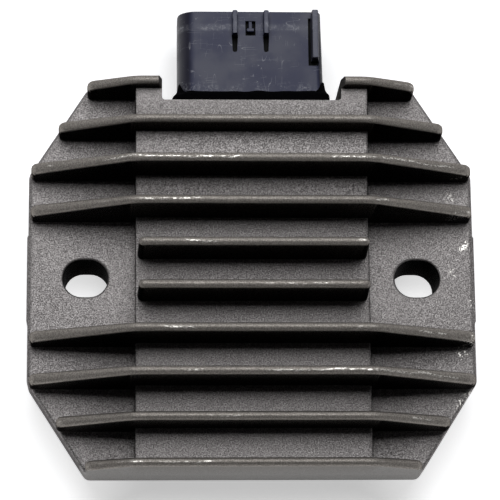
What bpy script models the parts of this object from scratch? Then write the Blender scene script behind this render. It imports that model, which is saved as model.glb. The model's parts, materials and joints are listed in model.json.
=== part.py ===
"""Voltage regulator rectifier for a vehicle's charging circuit.

A die-cast aluminium housing carries ten cooling fins and two slotted ears. Its back is a recess that
holds the rectifier board, filled with potting compound. A moulded socket stands in the end wall, and its
blade terminals run back to the board.

Sizes are in metres. The part lies on the feet of its ears at z = 0, with the fins up and the socket
towards +Y. Shapes are drawn about the midpoint between the two mounting slots. Everything hangs from one
empty, which moves that midpoint so that the origin is under the middle of the whole part.
"""

import math

import bmesh
import bpy
from mathutils import Matrix, Vector

# Clearances
CLEAR = 0.0003            # gap between pieces that touch
SINK = 0.0015             # how far a raised shape is sunk into the body that carries it
OVERRUN = 0.004           # how far a cutter runs past the face that it opens

# Housing plan
PLATE_WIDTH = 0.1000
PLATE_LENGTH = 0.0884
CORNER_CUT_X = 0.0130
CORNER_CUT_Y = 0.0204
CORNER_RADIUS = 0.0025
END_CORNER_RADIUS = 0.0018  # where the cut corners meet the end walls
PLATE_EDGE = 0.0008       # rounding of the flange's edges

# Housing heights above the feet
SKIRT_LOW = 0.0048
FLANGE_TOP = 0.0143
FLANGE_THICKNESS = 0.0034

# Raised block over the board
BLOCK_WIDTH = 0.0522
BLOCK_RISE = 0.0042
FOOT_RISE = 0.0049        # at the foot of the step inside the third fin
LANDING_RISE = 0.0076     # from that step to the second fin
RAMP_RISE = 0.0088        # at the top of the ramp that follows
RAMP_SETBACK = 0.0027     # from the plate's end to the ramp's top
STEP_HALF = 0.0008
BLOCK_EDGE = 0.0005

# Fins, counted from the socket
FIN_CREST = 0.0020
FIN_DRAFT = math.radians(1.6)
FIN_RISES = (0.0121, 0.0141, 0.0163, 0.0159, 0.0161, 0.0159, 0.0156, 0.0156, 0.0131, 0.0096)
END_FIN_INSET = 0.001315  # from the plate's end to the middle of the first fin
LAST_FIN = len(FIN_RISES) - 1
FIN_PITCH = (PLATE_LENGTH - 2 * END_FIN_INSET) / LAST_FIN
END_FINS = (0, LAST_FIN)
SHORT_FINS = (4, 5)       # these stop at the block, to leave the slots free
FIN_INSET = 0.0006        # from the fin's end to the plate's edge
FIN_DROP = 0.010718       # from the crest over the block down to the longest fin's nose
FIN_SLOPE = FIN_DROP / (PLATE_WIDTH / 2 - FIN_INSET - BLOCK_WIDTH / 2)
FIN_NOSE = 0.0030
FIN_BEND = 0.0090
FIN_EDGE = 0.00092
SHORT_FIN_INSET = 0.0004
SHORT_FIN_NOSE = 0.0012
END_NOSE_INSET = 0.0009   # from the first and last fins' noses to the plate's cut corners

# Ears and their slots
EAR_LENGTH = 0.0202
EAR_PROUD = 0.00025
EAR_SHY = 0.0004          # the ear's block stops this far under the flange's top
EAR_STEP = 0.0010         # from the block's side to the foot
EAR_EDGE = 0.0005
SLOT_SHIFT = 0.0009       # from the ear's middle towards the block
SLOT_SPACING = (PLATE_WIDTH + BLOCK_WIDTH) / 2 - 2 * SLOT_SHIFT
SLOT_LENGTH = 0.0100
SLOT_WIDTH = 0.0084
SLOT_RIM = 0.0006
RIM_STEPS = 3
ARC_STEPS = 32

# Recess in the back
SKIRT_WALL = 0.0028
END_WALL = 0.0032
POCKET_WALL = 0.0028      # between the recess and the block's side
POCKET_STEP = 0.0002      # the deep part is this much narrower than the shallow part, all round
EAR_WALL = 0.0025
POCKET_RADIUS = 0.0020
BAY_RISE = 0.0058         # extra depth over the socket's root
BAY_RUN = 0.0122
BAY_STEPS = 10
FILL_SHY = 0.0005         # the potting stops this far inside the skirt

# Socket
SOCKET_WIDTH = 0.0332
SOCKET_HEIGHT = 0.0146
SOCKET_TOP = 0.0197
SOCKET_REACH = 0.0220     # from the notch's wall to the mouth
SOCKET_WALL = 0.0016
SOCKET_DEPTH = 0.0172
SOCKET_TAPER = 0.0006     # the right side leans in towards the mouth
SOCKET_BIG_RADIUS = 0.0043
SOCKET_SMALL_RADIUS = 0.0016
SOCKET_EDGE = 0.0003
COLLAR_LIP = 0.0020
COLLAR_WIDTH = SOCKET_WIDTH + 2 * COLLAR_LIP
COLLAR_LENGTH = 0.0025
COLLAR_SHY = 0.0002
SEAL_LENGTH = 0.0024
SEAL_WIDTH = 0.0011

# Notch for the socket
NOTCH_ROOM = 0.0035       # between the socket's side and the notch's
NOTCH_WIDTH = SOCKET_WIDTH + 2 * NOTCH_ROOM
NOTCH_DEPTH = 0.0050
NOTCH_FLARE = 0.0008
NOTCH_FILLET = 0.0006
NOTCH_WALL = 0.0022

# Places along the recess
BAY_END = PLATE_LENGTH / 2 - NOTCH_DEPTH - NOTCH_WALL - CLEAR - COLLAR_LENGTH
BAY_START = BAY_END - BAY_RUN

# Raised and sunk features on the socket's top
RAIL_SPACING = 0.0071
RAIL_WIDTH = 0.0014
RAIL_LENGTH = 0.0061
RAIL_RISE = 0.0021
RIB_LEAN = 0.00014        # a rib's sides lean in this much towards its top
RIB_EDGE = 0.0003
RAIL_WINDOW_LENGTH = 0.0036
RAIL_WINDOW_TAPER = 0.0002
WINDOW_RADIUS = 0.0004
KEY_INSET = 0.0020        # from the socket's side to the key's middle
KEY_X = SOCKET_WIDTH / 2 - KEY_INSET
KEY_WIDTH = 0.0017
KEY_LENGTH = 0.0118
KEY_RISE = 0.0026
KEY_GROOVE_WIDTH = 0.00065
KEY_GROOVE_END = 0.0011   # how far the groove runs past the key's end
KEY_GROOVE_DEPTH = 0.0012
CATCH_WIDTH = 0.0023
CATCH_LENGTH = 0.0035
CATCH_DEPTH = 0.0012
CATCH_SETBACK = 0.0023
CATCH_BAR_LENGTH = 0.0008
CATCH_BAR_AT = 0.0041
TONGUE_WIDTH = CATCH_WIDTH / 3
DETAIL_EDGE = 0.00025

# Terminals
BLADE_WIDTH = 0.0063
BLADE_THICKNESS = 0.0008
BLADE_ROOM = 0.00195      # between the outer blades and the socket's wall
BLADE_PITCH = (SOCKET_WIDTH - BLADE_WIDTH) / 2 - SOCKET_WALL - BLADE_ROOM
BLADE_ROWS = 0.0060
BLADE_SETBACK = 0.0043    # from the mouth to the blades' tips
BLADE_TIP = 0.0008
TAIL_WIDTH = 0.0024
TAIL_OFFSET = 0.0019
TAIL_BEND_AT = 0.0027     # from the socket's back to the first fold
TAIL_BEND_RUN = 0.0032
TAIL_LAP = 0.0062         # how far a tail laps under the board

# Board and what it carries
BOARD_ROOM = 0.0016       # between the board's side and the deep recess's
BOARD_WIDTH = BLOCK_WIDTH - 2 * (POCKET_WALL + POCKET_STEP + BOARD_ROOM)
BOARD_THICKNESS = 0.0012
BOARD_SETBACK = 0.0152    # from the socket's back to the board
BOARD_FAR_ROOM = 0.0028
BOARD_END = BAY_END - BOARD_SETBACK
BOARD_LENGTH = BOARD_END + PLATE_LENGTH / 2 - END_WALL - POCKET_STEP - BOARD_FAR_ROOM
CLIP_WIDTH = 0.0040
CLIP_THICKNESS = 0.0006
CLIP_RUN = 0.0026
DEVICE_HEIGHT = 0.0026
COLUMN_GAP = 0.0017       # between neighbouring thyristors
DIODE_SHY = 0.0008        # how much narrower a diode is than a thyristor
THYRISTOR_WIDTH = BLADE_PITCH - COLUMN_GAP
THYRISTOR_LENGTH = 0.0090
DIODE_SIZE = THYRISTOR_WIDTH - DIODE_SHY
DEVICE_GAP = 0.0026
BUS_WIDTH = 0.0020
BUS_THICKNESS = 0.0006
BUS_SETBACK = 0.0010      # from the terminals' tails to the battery bus, past its clearance
RESISTOR_SIZE = (0.0064, 0.0032, 0.0008)
PACKAGE_EDGE = 0.0002

# Regulator circuit at the board's far end
CONTROL_STEP = 0.0062     # from the gate resistors to the chip's row
FAR_ROW_STEP = 0.0088     # from the chip's row to the last row
CHIP_X = -0.0080
CHIP_SIZE = (0.0100, 0.0076, 0.0022)
ZENER_X = 0.0035
ZENER_SIZE = (0.0052, 0.0040, 0.0024)
TIMING_X = 0.0125
TIMING_SIZE = (0.0073, 0.0043, 0.0029)
SENSE_A_X = -0.0120
SENSE_B_X = -0.0030
CAN_X = 0.0110
CAN_RADIUS = 0.0032
CAN_HEIGHT = 0.0054
CAN_NECK = 0.94           # the groove's radius, as a share of the can's
CAN_GROOVE = (0.16, 0.22, 0.28)  # where the groove starts, is deepest and ends, as shares of the height


def clear_scene():
    for old in list(bpy.data.objects):
        bpy.data.objects.remove(old, do_unlink=True)


def new_collection(name):
    group = bpy.data.collections.new(name)
    bpy.context.scene.collection.children.link(group)
    return group


def material(name, color, roughness, metallic):
    finish = bpy.data.materials.new(name)
    finish.use_nodes = True
    shader = finish.node_tree.nodes["Principled BSDF"]
    shader.inputs["Base Color"].default_value = (*color, 1.0)
    shader.inputs["Roughness"].default_value = roughness
    shader.inputs["Metallic"].default_value = metallic
    return finish


# Outlines


def rounded(corners, radii, steps=6):
    """A closed outline with each corner replaced by an arc of its own radius."""
    points = []
    count = len(corners)
    for i, corner in enumerate(corners):
        here = Vector(corner)
        radius = radii[i]
        if radius <= 0:
            points.append(tuple(here))
            continue
        back = (Vector(corners[i - 1]) - here).normalized()
        ahead = (Vector(corners[(i + 1) % count]) - here).normalized()
        half = back.angle(ahead) / 2
        start = here + back * (radius / math.tan(half))
        centre = here + (back + ahead).normalized() * (radius / math.sin(half))
        spoke = start - centre
        sweep = math.pi - 2 * half
        turn = 1 if back.cross(ahead) < 0 else -1
        for step in range(steps + 1):
            angle = turn * sweep * step / steps
            arm = Matrix.Rotation(angle, 2) @ spoke
            points.append(tuple(centre + arm))
    return points


def smooth_rise(value, start, end):
    """0 before start, 1 after end, and an easy curve between."""
    t = min(max((value - start) / (end - start), 0.0), 1.0)
    return t * t * (3 - 2 * t)


# Solids

PLAN = Matrix.Identity(4)
FRONT = Matrix(((1, 0, 0, 0), (0, 0, -1, 0), (0, 1, 0, 0), (0, 0, 0, 1)))
SIDE = Matrix(((0, 0, 1, 0), (1, 0, 0, 0), (0, 1, 0, 0), (0, 0, 0, 1)))


def tidy(mesh, flatten=True):
    """Welds loose points, joins flat triangles and turns every face outwards."""
    bm = bmesh.new()
    bm.from_mesh(mesh)
    bmesh.ops.remove_doubles(bm, verts=bm.verts, dist=1e-6)
    if flatten:
        bmesh.ops.dissolve_limit(bm, angle_limit=math.radians(0.4), verts=bm.verts, edges=bm.edges)
    bmesh.ops.recalc_face_normals(bm, faces=bm.faces)
    bm.to_mesh(mesh)
    bm.free()


def place(name, mesh, group):
    obj = bpy.data.objects.new(name, mesh)
    group.objects.link(obj)
    obj.parent = frame
    if group is not parts:
        obj.hide_render = True
        obj.display_type = "WIRE"
    return obj


def prism(name, outlines, low, high, view, group):
    """A flat outline, with any holes, made solid from low to high across its plane."""
    curve = bpy.data.curves.new(name, "CURVE")
    curve.dimensions = "2D"
    curve.fill_mode = "BOTH"
    curve.extrude = (high - low) / 2
    for outline in outlines:
        spline = curve.splines.new("POLY")
        spline.points.add(len(outline) - 1)
        for point, (a, b) in zip(spline.points, outline):
            point.co = (a, b, 0, 1)
        spline.use_cyclic_u = True
    drawn = bpy.data.objects.new(name, curve)
    bpy.context.scene.collection.objects.link(drawn)
    scene_now = bpy.context.evaluated_depsgraph_get()
    mesh = bpy.data.meshes.new_from_object(drawn.evaluated_get(scene_now))
    bpy.data.objects.remove(drawn, do_unlink=True)
    middle = (low + high) / 2
    if view is FRONT:
        middle = -middle
    mesh.transform(view @ Matrix.Translation((0, 0, middle)))
    tidy(mesh)
    mesh.name = name
    return place(name, mesh, group)


def box(name, low, high, group):
    bm = bmesh.new()
    bmesh.ops.create_cube(bm, size=1.0)
    size = Vector(high) - Vector(low)
    bmesh.ops.scale(bm, vec=size, verts=bm.verts)
    bmesh.ops.translate(bm, vec=Vector(low) + size / 2, verts=bm.verts)
    mesh = bpy.data.meshes.new(name)
    bm.to_mesh(mesh)
    bm.free()
    return place(name, mesh, group)


def slot_step(name, centre_x, length, low, high, radius_low, radius_high, group):
    """A slot-shaped block whose sides lean: two cones and all that lies between them."""
    bm = bmesh.new()
    for side in (-1, 1):
        spot = Matrix.Translation((centre_x + side * length / 2, 0, (low + high) / 2))
        bmesh.ops.create_cone(bm, cap_ends=True, segments=ARC_STEPS, radius1=radius_low,
                              radius2=radius_high, depth=high - low, matrix=spot)
    hull = bmesh.ops.convex_hull(bm, input=bm.verts)
    inner = set(hull["geom_interior"]) | set(hull["geom_unused"])
    bmesh.ops.delete(bm, geom=[v for v in inner if isinstance(v, bmesh.types.BMVert)], context="VERTS")
    holes = [item for item in hull["geom_holes"] if isinstance(item, bmesh.types.BMFace)]
    bmesh.ops.delete(bm, geom=[face for face in holes if face.is_valid], context="FACES_ONLY")
    mesh = bpy.data.meshes.new(name)
    bm.to_mesh(mesh)
    bm.free()
    tidy(mesh)
    return place(name, mesh, group)


def fold(mesh, path):
    """Folds a flat strip, drawn with its length along y from 0, over a path of (y, z) points."""
    spots = [Vector(point) for point in path]
    lengths = [0.0]
    for a, b in zip(spots, spots[1:]):
        lengths.append(lengths[-1] + (b - a).length)
    ways = [(b - a).normalized() for a, b in zip(spots, spots[1:])]
    sides = [Vector((-way.y, way.x)) for way in ways]
    bm = bmesh.new()
    bm.from_mesh(mesh)
    for length in lengths[1:-1]:
        everything = bm.verts[:] + bm.edges[:] + bm.faces[:]
        bmesh.ops.bisect_plane(bm, geom=everything, plane_co=(0, length, 0), plane_no=(0, 1, 0))
    for vert in bm.verts:
        x, s, t = vert.co
        leg = 0
        while leg < len(ways) - 1 and s > lengths[leg + 1] + 1e-7:
            leg += 1
        lift = sides[leg] * t
        if leg < len(ways) - 1 and abs(s - lengths[leg + 1]) <= 1e-7:
            mitre = sides[leg] + sides[leg + 1]
            lift = mitre * (2 * t / mitre.length_squared)
        spot = spots[leg] + ways[leg] * (s - lengths[leg]) + lift
        vert.co = (x, spot.x, spot.y)
    bm.normal_update()
    bmesh.ops.recalc_face_normals(bm, faces=bm.faces)
    bm.to_mesh(mesh)
    bm.free()


def rounding(obj, width, segments=2, angle=30):
    bevel = obj.modifiers.new("rounding", "BEVEL")
    bevel.width = width
    bevel.segments = segments
    bevel.limit_method = "ANGLE"
    bevel.angle_limit = math.radians(angle)


def combine(obj, tool, operation):
    step = obj.modifiers.new(operation.lower(), "BOOLEAN")
    step.operation = operation
    step.solver = "EXACT"
    if isinstance(tool, bpy.types.Collection):
        step.operand_type = "COLLECTION"
        step.collection = tool
    else:
        step.object = tool


def finish(obj, look, angle=32):
    """Applies the modifiers, gives the piece its material and shades its round faces smooth."""
    scene_now = bpy.context.evaluated_depsgraph_get()
    solid = bpy.data.meshes.new_from_object(obj.evaluated_get(scene_now))
    solid.name = obj.name
    obj.modifiers.clear()
    obj.data = solid
    tidy(solid, flatten=False)
    solid.materials.clear()
    solid.materials.append(look)
    solid.shade_smooth()
    solid.set_sharp_from_angle(angle=math.radians(angle))


# Places worked out from the sizes

def half_width(y):
    """Half of the plate's width at a distance along it."""
    corner_y = PLATE_LENGTH / 2 - CORNER_CUT_Y
    return PLATE_WIDTH / 2 - max(0.0, abs(y) - corner_y) * CORNER_CUT_X / CORNER_CUT_Y


def fin_y(index):
    return (LAST_FIN / 2 - index) * FIN_PITCH


def fin_half(index, z):
    """Half of a fin's thickness at a height. Under the flange the end walls are upright."""
    crest = FLANGE_TOP + FIN_RISES[index]
    return FIN_CREST / 2 + math.tan(FIN_DRAFT) * (crest - max(z, FLANGE_TOP))


def end_face(index):
    """How far the first or the last fin's outer face lies from the plate's middle."""
    return abs(fin_y(index)) + fin_half(index, FLANGE_TOP)


def block_line():
    """Points of the block's top along y, from the fourth fin to the socket's end."""
    fourth, third, second = [fin_y(index) for index in (3, 2, 1)]
    rises = [(fourth, BLOCK_RISE), (third - STEP_HALF, FOOT_RISE), (third + STEP_HALF, LANDING_RISE),
             (second, LANDING_RISE), (PLATE_LENGTH / 2 - RAMP_SETBACK, RAMP_RISE)]
    return [(y, FLANGE_TOP + rise) for y, rise in rises]


def block_top(y):
    """The block's height at a distance along it, past the second fin."""
    (low_y, low_z), (high_y, high_z) = block_line()[-2:]
    return low_z + (high_z - low_z) * (y - low_y) / (high_y - low_y)


def pocket_top(y):
    return FLANGE_TOP + BAY_RISE * smooth_rise(y, BAY_START, BAY_END)


def ramp_line(height, start, end, low, high):
    """Points of a height curve from low to high along y, with extra ones on its ramp."""
    stops = [start + (end - start) * step / BAY_STEPS for step in range(BAY_STEPS + 1)]
    inner = [y for y in stops if low < y < high]
    return [(y, height(y)) for y in [low] + inner + [high]]


notch_y = PLATE_LENGTH / 2 - NOTCH_DEPTH
pocket_near = notch_y - NOTCH_WALL
pocket_far = END_WALL - PLATE_LENGTH / 2
mouth_y = notch_y + SOCKET_REACH
socket_back = BAY_END
socket_floor = mouth_y - SOCKET_DEPTH
socket_middle = SOCKET_TOP - SOCKET_HEIGHT / 2
wall_inside = SOCKET_TOP - SOCKET_WALL - CLEAR
fill_low = SKIRT_LOW + FILL_SHY
wing_top = FLANGE_TOP - FLANGE_THICKNESS
board_low = FLANGE_TOP - CLEAR - BOARD_THICKNESS
lead_z = board_low - CLEAR - BLADE_THICKNESS / 2
tail_end = BOARD_END - TAIL_LAP
seat = board_low - CLEAR
bus_y = tail_end - BUS_WIDTH / 2 - 2 * CLEAR - BUS_SETBACK
battery_tail_end = bus_y + BUS_WIDTH / 2 + CLEAR
diode_y = bus_y - BUS_WIDTH / 2 - 2 * CLEAR - DIODE_SIZE / 2
thyristor_y = diode_y - DIODE_SIZE / 2 - DEVICE_GAP - THYRISTOR_LENGTH / 2
ground_y = thyristor_y - THYRISTOR_LENGTH / 2 - 2 * CLEAR - BUS_WIDTH / 2
gate_y = ground_y - BUS_WIDTH / 2 - 3 * CLEAR - RESISTOR_SIZE[1] / 2
control_y = gate_y - RESISTOR_SIZE[1] / 2 - CONTROL_STEP
far_row_y = control_y - FAR_ROW_STEP
part_front = mouth_y
part_back = -end_face(LAST_FIN)


# Housing


def plate_outline():
    """The flange's outline. Its ends are flush with the first and the last fin's outer faces."""
    side = PLATE_WIDTH / 2
    corner_y = PLATE_LENGTH / 2 - CORNER_CUT_Y
    near = end_face(0)
    far = end_face(LAST_FIN)
    near_x = half_width(near)
    far_x = half_width(far)
    corners = [(side, -corner_y), (side, corner_y), (near_x, near), (-near_x, near),
               (-side, corner_y), (-side, -corner_y), (-far_x, -far), (far_x, -far)]
    radii = [CORNER_RADIUS] * 2 + [END_CORNER_RADIUS] * 2
    return rounded(corners, radii * 2, 4)


def fin_outline(index, low):
    """A fin seen from the front: level over the block, then sloping to a rounded nose."""
    crest = FLANGE_TOP + FIN_RISES[index]
    if index in SHORT_FINS:
        half = BLOCK_WIDTH / 2 - SHORT_FIN_INSET
        top = half - math.tan(FIN_DRAFT) * (crest - FLANGE_TOP)
        corners = [(-half, low), (half, low), (top, crest), (-top, crest)]
        return rounded(corners, [0, 0, SHORT_FIN_NOSE, SHORT_FIN_NOSE], 4)
    half = half_width(fin_y(index)) - (END_NOSE_INSET if index in END_FINS else FIN_INSET)
    shoulder = min(BLOCK_WIDTH / 2, half)
    nose = crest - FIN_SLOPE * (half - shoulder)
    corners = [(-half, low), (half, low), (half, nose), (shoulder, crest), (-shoulder, crest), (-half, nose)]
    return rounded(corners, [0, 0, FIN_NOSE, FIN_BEND, FIN_BEND, FIN_NOSE], 5)


def add_fin(index, group):
    """One fin, thicker towards its root. The first and the last continue the end walls."""
    low = FLANGE_TOP - (2 * SINK if index in END_FINS else SINK)
    middle = fin_y(index)
    reach = FIN_CREST / 2
    outline = fin_outline(index, low)
    fin = prism(f"fin_{index + 1}", [outline], middle - reach, middle + reach, FRONT, group)
    bm = bmesh.new()
    bm.from_mesh(fin.data)
    everything = bm.verts[:] + bm.edges[:] + bm.faces[:]
    bmesh.ops.bisect_plane(bm, geom=everything, plane_co=(0, 0, FLANGE_TOP), plane_no=(0, 0, 1))
    for vert in bm.verts:
        side = 1 if vert.co.y > middle else -1
        vert.co.y = middle + side * fin_half(index, vert.co.z)
    bm.to_mesh(fin.data)
    bm.free()
    rounding(fin, FIN_EDGE, 3)
    return fin


def lower_pocket(name, gap, low, high, group):
    """The wide, shallow part of the recess: it fills the plate but for the ears."""
    lean = math.hypot(CORNER_CUT_X, CORNER_CUT_Y) / CORNER_CUT_Y
    wall = SKIRT_WALL + gap
    waist = BLOCK_WIDTH / 2 - POCKET_WALL - gap
    ear = EAR_LENGTH / 2 + EAR_WALL + gap
    side = PLATE_WIDTH / 2 - wall
    corner_y = PLATE_LENGTH / 2 - CORNER_CUT_Y - wall * (lean - 1) * CORNER_CUT_Y / CORNER_CUT_X
    near = pocket_near - gap
    far = pocket_far + gap
    near_x = half_width(near) - wall * lean
    far_x = half_width(far) - wall * lean
    right = [(waist, -ear), (waist, ear), (side, ear), (side, corner_y), (near_x, near)]
    left = [(-x, y) for x, y in reversed(right)]
    tail = [(-side, -ear), (-side, -corner_y), (-far_x, far), (far_x, far), (side, -corner_y), (side, -ear)]
    corners = right + left + tail
    return prism(name, [rounded(corners, [POCKET_RADIUS] * len(corners), 3)], low, high, PLAN, group)


def upper_pocket(name, gap, low, group, board_seat=False):
    """The deep part under the block, with its ramp over the socket's root."""
    far = pocket_far + POCKET_STEP + gap
    near = pocket_near - POCKET_STEP - gap
    half = BLOCK_WIDTH / 2 - POCKET_WALL - POCKET_STEP - gap
    start = BOARD_END + CLEAR if board_seat else far
    roof = ramp_line(lambda y: pocket_top(y) - gap, BAY_START, BAY_END, start, near)
    if board_seat:
        roof = [(far, seat), (start, seat)] + roof
    outline = [(near, low), (far, low)] + roof
    return prism(name, [outline], -half, half, SIDE, group)


def add_housing():
    body = prism("heat_sink_housing", [plate_outline()], SKIRT_LOW, FLANGE_TOP, PLAN, parts)
    rounding(body, PLATE_EDGE, 3)
    for index in range(len(FIN_RISES)):
        add_fin(index, raised)
    end = fin_y(0)
    low = FLANGE_TOP - SINK
    side_view = [(end, low), (-end, low), (-end, FLANGE_TOP + BLOCK_RISE)] + block_line()
    side_view.append((end, FLANGE_TOP + RAMP_RISE))
    block = prism("block", [side_view], -BLOCK_WIDTH / 2, BLOCK_WIDTH / 2, SIDE, raised)
    rounding(block, BLOCK_EDGE)
    for side in (-1, 1):
        inner = side * (BLOCK_WIDTH / 2 + EAR_STEP)
        outer = side * (PLATE_WIDTH / 2 + EAR_PROUD)
        ear = box("ear", (min(inner, outer), -EAR_LENGTH / 2, 0),
                  (max(inner, outer), EAR_LENGTH / 2, FLANGE_TOP - EAR_SHY), raised)
        rounding(ear, EAR_EDGE)
        add_slot(side * SLOT_SPACING / 2)
    lower_pocket("shallow_recess", 0, SKIRT_LOW - OVERRUN, wing_top, hollows)
    upper_pocket("deep_recess", 0, wing_top - SINK, hollows)
    add_notch()
    prism("socket_slot", [socket_outline(CLEAR, OVERRUN)],
          pocket_near - OVERRUN, notch_y + OVERRUN, FRONT, hollows)
    combine(body, raised, "UNION")
    combine(body, hollows, "DIFFERENCE")
    finish(body, cast)


def add_slot(x):
    """A mounting slot with its upper rim rounded."""
    radius = SLOT_WIDTH / 2
    straight = SLOT_LENGTH - SLOT_WIDTH
    slot_step("slot", x, straight, -OVERRUN, FLANGE_TOP + OVERRUN, radius, radius, hollows)
    turns = [math.radians(90 * step / RIM_STEPS) for step in range(RIM_STEPS + 1)]
    rim = [(FLANGE_TOP - SLOT_RIM * (1 - math.sin(turn)), radius + SLOT_RIM * (1 - math.cos(turn)))
           for turn in turns]
    for (low, narrow), (high, wide) in zip(rim, rim[1:]):
        lean = (wide - narrow) / (high - low)
        reach = SLOT_RIM / 2
        slot_step("slot_rim", x, straight, low - reach, high + reach,
                  narrow - reach * lean, wide + reach * lean, hollows)


def add_notch():
    """The gap in the first fin and the end wall that the socket stands in."""
    half = NOTCH_WIDTH / 2
    crest = FLANGE_TOP + FIN_RISES[0]
    block_end = block_top(notch_y)
    outline = [(-half, SKIRT_LOW - OVERRUN), (half, SKIRT_LOW - OVERRUN), (half, block_end),
               (half + NOTCH_FLARE, crest), (half + NOTCH_FLARE, crest + OVERRUN),
               (-half - NOTCH_FLARE, crest + OVERRUN), (-half - NOTCH_FLARE, crest), (-half, block_end)]
    notch = prism("notch", [outline], notch_y, PLATE_LENGTH / 2 + OVERRUN, FRONT, hollows)
    rounding(notch, NOTCH_FILLET, 3)


# Socket


def socket_outline(grow, drop=0.0):
    """The socket's section, seen from its mouth side. It can run on downwards by a drop."""
    left = -SOCKET_WIDTH / 2 - grow
    right = SOCKET_WIDTH / 2 + grow
    top = SOCKET_TOP + grow
    low = SOCKET_TOP - SOCKET_HEIGHT - grow - drop
    big = SOCKET_BIG_RADIUS + grow
    small = SOCKET_SMALL_RADIUS + grow
    corners = [(left, low), (right, low), (right, top), (left, top)]
    return rounded(corners, [big, small, small, big], 6)


def lean_in(obj):
    """Leans the socket's right side in towards the mouth."""
    for vert in obj.data.vertices:
        if vert.co.x > 0:
            along = (vert.co.y - socket_back) / (mouth_y - socket_back)
            vert.co.x -= SOCKET_TAPER * along


def collar_outline(grow, drop=0.0):
    half = COLLAR_WIDTH / 2 + grow
    low = SOCKET_TOP - SOCKET_HEIGHT + COLLAR_SHY - grow - drop
    high = SOCKET_TOP - COLLAR_SHY + grow
    corners = [(-half, low), (half, low), (half, high), (-half, high)]
    return rounded(corners, [SOCKET_SMALL_RADIUS] * len(corners), 4)


def add_rib(name, middle, width, length, rise):
    """A guide rib on the socket's top, from the mouth back, narrower towards its top."""
    root = SOCKET_TOP - SOCKET_WALL / 2
    crest = SOCKET_TOP + rise
    half = width / 2
    outline = [(middle - half, root), (middle + half, root),
               (middle + half - RIB_LEAN, crest), (middle - half + RIB_LEAN, crest)]
    rib = prism(name, [outline], mouth_y - length, mouth_y - SOCKET_EDGE, FRONT, socket_raised)
    rounding(rib, RIB_EDGE)


def add_rail(middle):
    """A rail for the plug, with a window through the wall behind it."""
    add_rib("rail", middle, RAIL_WIDTH, RAIL_LENGTH, RAIL_RISE)
    near = mouth_y - RAIL_LENGTH + CLEAR
    far = mouth_y - RAIL_LENGTH - RAIL_WINDOW_LENGTH
    half = RAIL_WIDTH / 2
    end = half - RAIL_WINDOW_TAPER
    corners = [(middle - end, far), (middle + end, far), (middle + half, near), (middle - half, near)]
    window = rounded(corners, [WINDOW_RADIUS, WINDOW_RADIUS, 0, 0], 4)
    prism("rail_window", [window], wall_inside, SOCKET_TOP + OVERRUN, PLAN, socket_hollows)


def add_key():
    """The key, which admits only the right plug, and the groove round its left side and its end."""
    add_rib("key", KEY_X, KEY_WIDTH, KEY_LENGTH, KEY_RISE)
    left = KEY_X - KEY_WIDTH / 2
    low = SOCKET_TOP - KEY_GROOVE_DEPTH
    key_end = mouth_y - KEY_LENGTH
    box("key_groove", (left - KEY_GROOVE_WIDTH, key_end - KEY_GROOVE_END, low),
        (left, mouth_y - SOCKET_WALL, SOCKET_TOP + OVERRUN), socket_hollows)
    box("key_end_groove", (left - CLEAR, key_end - KEY_GROOVE_END, low),
        (KEY_X + KEY_WIDTH / 2, key_end, SOCKET_TOP + OVERRUN), socket_hollows)


def add_socket():
    """The moulded shell with its collar, rails, key and catch, and slots for the blades."""
    shell = prism("socket_housing", [socket_outline(0)], socket_back, mouth_y, FRONT, parts)
    lean_in(shell)
    rounding(shell, SOCKET_EDGE)
    prism("collar", [collar_outline(0)], socket_back + CLEAR, pocket_near - CLEAR, FRONT, socket_raised)
    add_rail(-RAIL_SPACING / 2)
    add_rail(RAIL_SPACING / 2)
    add_key()
    catch_front = mouth_y - CATCH_SETBACK
    box("catch_well", (-CATCH_WIDTH / 2, catch_front - CATCH_LENGTH, SOCKET_TOP - CATCH_DEPTH),
        (CATCH_WIDTH / 2, catch_front, SOCKET_TOP + OVERRUN), socket_hollows)
    cavity = prism("cavity", [socket_outline(-SOCKET_WALL)],
                   socket_floor, mouth_y + OVERRUN, FRONT, socket_hollows)
    lean_in(cavity)
    half = BLADE_WIDTH / 2 + CLEAR
    reach = BLADE_THICKNESS / 2 + CLEAR
    for x, z in blade_places():
        box("blade_slot", (x - half, socket_back - OVERRUN, z - reach),
            (x + half, socket_floor + OVERRUN, z + reach), socket_hollows)
    combine(shell, socket_raised, "UNION")
    combine(shell, socket_hollows, "DIFFERENCE")
    root = SOCKET_TOP - SOCKET_WALL / 2
    bar_front = mouth_y - CATCH_BAR_AT
    bar = box("catch_bar", (-CATCH_WIDTH / 2 + CLEAR, bar_front - CATCH_BAR_LENGTH, root),
              (CATCH_WIDTH / 2 - CLEAR, bar_front, SOCKET_TOP + CLEAR), catch_parts)
    tongue = box("catch_tongue", (-TONGUE_WIDTH / 2, bar_front - CATCH_BAR_LENGTH / 2, root),
                 (TONGUE_WIDTH / 2, catch_front + CLEAR, SOCKET_TOP - DETAIL_EDGE), catch_parts)
    rounding(bar, DETAIL_EDGE / 2, 1)
    rounding(tongue, DETAIL_EDGE / 3, 1)
    combine(shell, catch_parts, "UNION")
    finish(shell, black_plastic)


def add_seal():
    """The bead of sealant round the socket, against the notch's wall."""
    start = notch_y + CLEAR
    outlines = [socket_outline(CLEAR + SEAL_WIDTH), socket_outline(CLEAR)]
    seal = prism("socket_sealant", outlines, start, start + SEAL_LENGTH, FRONT, parts)
    rounding(seal, SEAL_WIDTH / 3, angle=50)
    finish(seal, black_resin)


# Terminals


def blade_places():
    """The x and z of each blade: the upper row from left to right, then the lower row."""
    return [(column * BLADE_PITCH, socket_middle + row * BLADE_ROWS / 2)
            for row in (1, -1) for column in (-1, 0, 1)]


def tail_x(x, upper):
    return x - TAIL_OFFSET if upper else x + TAIL_OFFSET


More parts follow.
